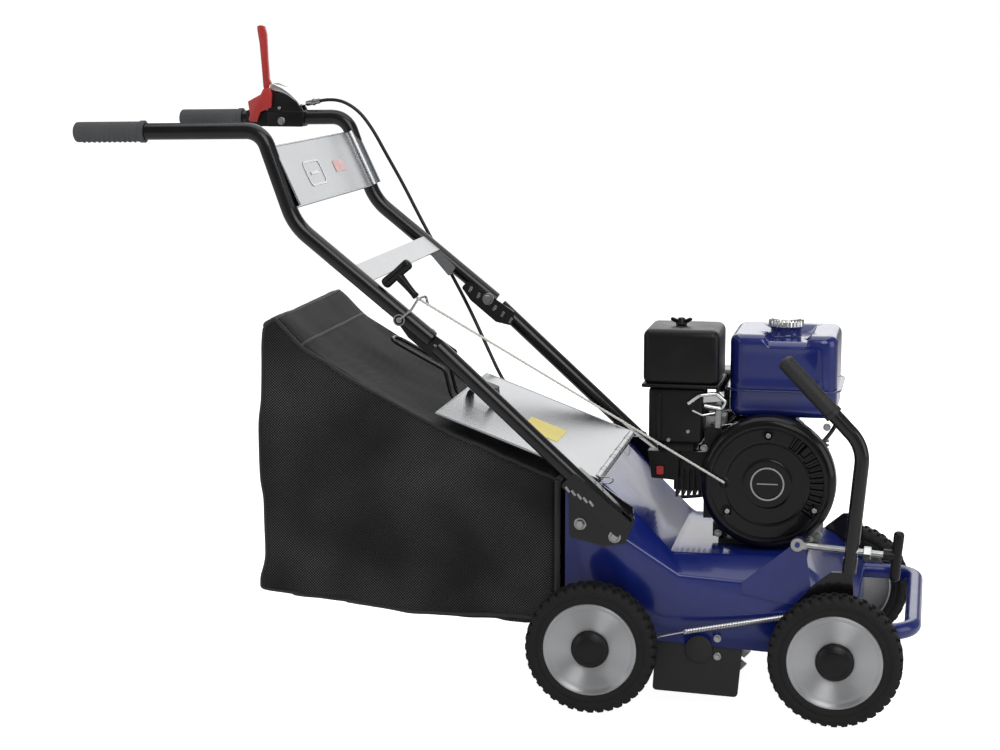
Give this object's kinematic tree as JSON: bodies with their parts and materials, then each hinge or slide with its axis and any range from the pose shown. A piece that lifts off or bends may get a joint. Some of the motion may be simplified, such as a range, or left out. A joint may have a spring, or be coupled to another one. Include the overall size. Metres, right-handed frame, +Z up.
{
  "type": "lawn dethatcher",
  "caption": "Walk-behind lawn dethatcher: wheeled deck over a bladed rotor driven by a small engine, with a rear grass bag, hinged flap and folding handle.",
  "frame": {"origin": "on the ground, below the centre of the machine's bounding box (cable left out)", "axes": "+X forward, +Y to the machine's left, +Z up"},
  "size_m": [1.2953, 0.5297, 1.0317],
  "materials": {
    "blue_paint": "glossy royal blue paint over steel",
    "black_paint": "satin black powder coat",
    "zinc": "zinc plated",
    "steel": "bare hardened steel",
    "wheel_metal": "spun metal disc",
    "tyre": "black rubber tread",
    "black_plastic": "satin black moulding",
    "tank_blue": "glossy blue paint",
    "grey_sheet": "light grey sheet",
    "red_plastic": "red moulding",
    "bag_fabric": "black woven mesh",
    "rope": "braided cord",
    "cable": "black cable jacket",
    "grip_rubber": "dark grey rubber",
    "engine_casting": "black painted casting",
    "cap_metal": "bright plated cap",
    "skirt_rubber": "black rubber sheet"
  },
  "bodies": {
    "chassis": {"deck_housing": "blue_paint", "side_skirts": "skirt_rubber", "rotor_bearings": "steel", "front_bumper": "blue_paint", "deck_hardware": "zinc", "deck_brackets": "black_paint", "screw_bracket": "blue_paint", "lower_handle_tubes": "black_paint", "joint_plates": "black_paint", "rear_axle": "steel", "drive_belt": "cable", "belt_guard": "black_plastic", "engine_block": "engine_casting", "recoil_housing": "black_plastic", "fan_shroud": "black_plastic", "fuel_tank": "tank_blue", "air_cleaner_base": "black_plastic", "air_cleaner_cover": "black_plastic", "carburettor": "zinc", "muffler": "black_paint", "flap_hinge": "zinc", "lift_spring": "zinc", "clutch_cable": "cable", "starter_rope": "rope"},
    "rotor": {"rotor_shaft": "steel", "rotor_blades": "steel", "rotor_pulley": "steel"},
    "engine_shaft": {"crankshaft": "steel", "engine_pulley": "steel"},
    "idler": {"idler_arm": "zinc"},
    "idler_wheel": {"idler_pulley": "black_plastic"},
    "front_crank": {"front_wheel_crank": "black_paint", "depth_lever": "black_paint", "lever_grip": "grip_rubber"},
    "depth_screw": {"depth_screw": "zinc"},
    "depth_nut": {"depth_nut": "zinc"},
    "depth_knob": {"depth_knob": "black_plastic"},
    "handlebar": {"upper_handle_tubes": "black_paint", "handle_grips": "grip_rubber", "handle_panel": "grey_sheet", "handle_brace": "grey_sheet", "clutch_bracket": "black_plastic", "rope_guide": "zinc"},
    "clutch_lever": {"clutch_lever": "red_plastic"},
    "starter_handle": {"starter_handle": "black_plastic"},
    "flap": {"discharge_flap": "grey_sheet", "flap_handle": "black_plastic"},
    "bag": {"grass_bag": "bag_fabric", "bag_frame": "black_paint"},
    "kill_switch": {"kill_switch": "red_plastic"},
    "fuel_cap": {"fuel_cap": "cap_metal"},
    "air_cleaner_knob": {"air_cleaner_knob": "black_plastic"},
    "throttle": {"throttle_lever": "zinc"},
    "wheel_rear_right": {"tyre_rear_right": "tyre", "wheel_rear_right": "wheel_metal"},
    "wheel_rear_left": {"tyre_rear_left": "tyre", "wheel_rear_left": "wheel_metal"},
    "wheel_front_right": {"tyre_front_right": "tyre", "wheel_front_right": "wheel_metal"},
    "wheel_front_left": {"tyre_front_left": "tyre", "wheel_front_left": "wheel_metal"}
  },
  "joints": [
    {"name": "rotor_spin", "type": "hinge", "parent": "chassis", "child": "rotor", "pos_m": [0.3165, 0, 0.095], "axis": [0, 1, 0], "continuous": true},
    {"name": "crank_spin", "type": "hinge", "parent": "chassis", "child": "engine_shaft", "pos_m": [0.4095, 0, 0.338], "axis": [0, 1, 0], "continuous": true},
    {"name": "idler_swing", "type": "hinge", "parent": "chassis", "child": "idler", "pos_m": [0.3645, 0.203, 0.16], "axis": [0, 1, 0], "range_deg": [-6.5, 0], "deforming": ["clutch_cable"]},
    {"name": "idler_spin", "type": "hinge", "parent": "idler", "child": "idler_wheel", "pos_m": [0.3495, 0.221, 0.222], "axis": [0, 1, 0], "continuous": true},
    {"name": "front_crank_swing", "type": "hinge", "parent": "chassis", "child": "front_crank", "pos_m": [0.5405, 0, 0.136], "axis": [0, 1, 0], "range_deg": [-12, 0], "deforming": ["lift_spring"]},
    {"name": "depth_screw_tilt", "type": "hinge", "parent": "chassis", "child": "depth_screw", "pos_m": [0.4625, -0.206, 0.266], "axis": [0, 1, 0], "range_deg": [0, 3.2]},
    {"name": "depth_nut_travel", "type": "slide", "parent": "depth_screw", "child": "depth_nut", "axis": [0.997, 0, -0.0776], "range_m": [0, 0.015]},
    {"name": "depth_knob_turn", "type": "hinge", "parent": "depth_screw", "child": "depth_knob", "pos_m": [0.60906, -0.206, 0.25459], "axis": [0.997, 0, -0.0776], "range_deg": [0, 3600]},
    {"name": "handlebar_height", "type": "hinge", "parent": "chassis", "child": "handlebar", "pos_m": [-0.0955, 0, 0.57], "axis": [0, 1, 0], "range_deg": [-8, 12], "deforming": ["clutch_cable", "starter_rope"]},
    {"name": "clutch_engage", "type": "hinge", "parent": "handlebar", "child": "clutch_lever", "pos_m": [-0.4715, 0.245, 0.904], "axis": [0, 1, 0], "range_deg": [-70, 0], "stiffness_Nm_per_rad": 0.6, "springref_deg": 28.65, "deforming": ["clutch_cable"]},
    {"name": "starter_pull", "type": "slide", "parent": "handlebar", "child": "starter_handle", "axis": [-0.4512, 0, 0.8924], "range_m": [0, 0.4], "stiffness_N_per_m": 25, "springref_m": -0.6, "deforming": ["starter_rope"]},
    {"name": "flap_open", "type": "hinge", "parent": "chassis", "child": "flap", "pos_m": [0.1565, 0, 0.35], "axis": [0, 1, 0], "range_deg": [0, 33]},
    {"name": "bag_off", "type": "slide", "parent": "chassis", "child": "bag", "axis": [-1, 0, 0], "range_m": [0, 0.25]},
    {"name": "kill_switch_rock", "type": "hinge", "parent": "chassis", "child": "kill_switch", "pos_m": [0.24, -0.08, 0.3465], "axis": [0, 0, 1], "range_deg": [0, 10]},
    {"name": "fuel_cap_turn", "type": "hinge", "parent": "chassis", "child": "fuel_cap", "pos_m": [0.4255, 0.005, 0.566], "axis": [0, 0, 1], "range_deg": [0, 90]},
    {"name": "air_cleaner_knob_turn", "type": "hinge", "parent": "chassis", "child": "air_cleaner_knob", "pos_m": [0.2665, -0.048, 0.576], "axis": [0, 0, 1], "range_deg": [0, 1080]},
    {"name": "throttle_swing", "type": "hinge", "parent": "chassis", "child": "throttle", "pos_m": [0.3285, -0.07, 0.421], "axis": [0, 1, 0], "range_deg": [-20, 25]},
    {"name": "wheel_rear_right_spin", "type": "hinge", "parent": "chassis", "child": "wheel_rear_right", "pos_m": [0.1565, -0.237, 0.1], "axis": [0, 1, 0], "continuous": true},
    {"name": "wheel_rear_left_spin", "type": "hinge", "parent": "chassis", "child": "wheel_rear_left", "pos_m": [0.1565, 0.237, 0.1], "axis": [0, 1, 0], "continuous": true},
    {"name": "wheel_front_right_spin", "type": "hinge", "parent": "front_crank", "child": "wheel_front_right", "pos_m": [0.5235, -0.237, 0.1], "axis": [0, 1, 0], "continuous": true},
    {"name": "wheel_front_left_spin", "type": "hinge", "parent": "front_crank", "child": "wheel_front_left", "pos_m": [0.5235, 0.237, 0.1], "axis": [0, 1, 0], "continuous": true}
  ],
  "couplings": [
    {"joint": "crank_spin", "follows": "rotor_spin", "ratio": 1.3158},
    {"joint": "idler_swing", "follows": "clutch_engage", "ratio": 0.092857},
    {"joint": "depth_screw_tilt", "follows": "front_crank_swing", "ratio": -0.26},
    {"joint": "depth_nut_travel", "follows": "depth_knob_turn", "m_per_rad": 0.00023873}
  ]
}
